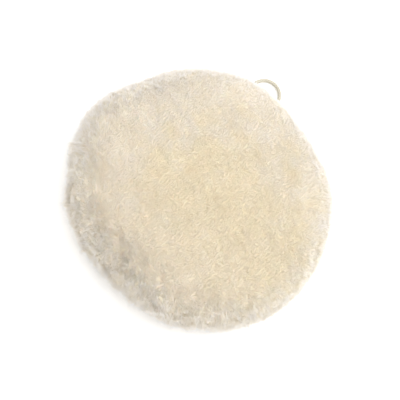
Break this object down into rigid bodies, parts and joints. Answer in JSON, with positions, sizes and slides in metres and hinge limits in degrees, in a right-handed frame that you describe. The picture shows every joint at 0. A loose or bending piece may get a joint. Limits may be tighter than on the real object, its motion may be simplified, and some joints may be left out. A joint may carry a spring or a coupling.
{
  "type": "tie-on lambswool polishing bonnet",
  "caption": "Round sheepskin polishing pad cover with a flat pile face, a turned-in pile skirt and a drawcord hem that closes behind a backing pad.",
  "frame": {"origin": "centre of the bonnet at the level of the table it lies on, with the polishing face up", "axes": "+Z out of the polishing face, along the axis it turns about; +Y towards the opening where the drawcord leaves the hem"},
  "size_m": [0.2072, 0.241, 0.047],
  "materials": {
    "face_wool": "sheared lambswool pile, cream, soft and matt",
    "rim_wool": "lambswool pile, cream, a little longer and curlier",
    "hide": "suede flesh side of a tanned sheepskin, matt",
    "tape": "natural cotton twill tape",
    "cord": "natural braided cotton",
    "thread": "waxed polyester sewing thread, natural white"
  },
  "bodies": {
    "root": {"face_hide": "hide", "face_pile": "face_wool", "skirt_hide_1": "hide", "skirt_hide_2": "hide", "skirt_hide_3": "hide", "skirt_pile_1": "rim_wool", "skirt_pile_2": "rim_wool", "skirt_pile_3": "rim_wool", "face_seam_thread": "thread", "strip_join_stitches": "thread", "hem_tape": "tape", "hem_stitching": "thread", "exit_bartacks": "thread", "drawcord_in_hem": "cord", "drawcord_loop": "cord", "drawcord_short_end": "cord", "drawcord_knot": "cord", "drawcord_tail_right": "cord", "drawcord_tail_middle": "cord", "tail_stopper_knots": "cord"}
  },
  "joints": []
}
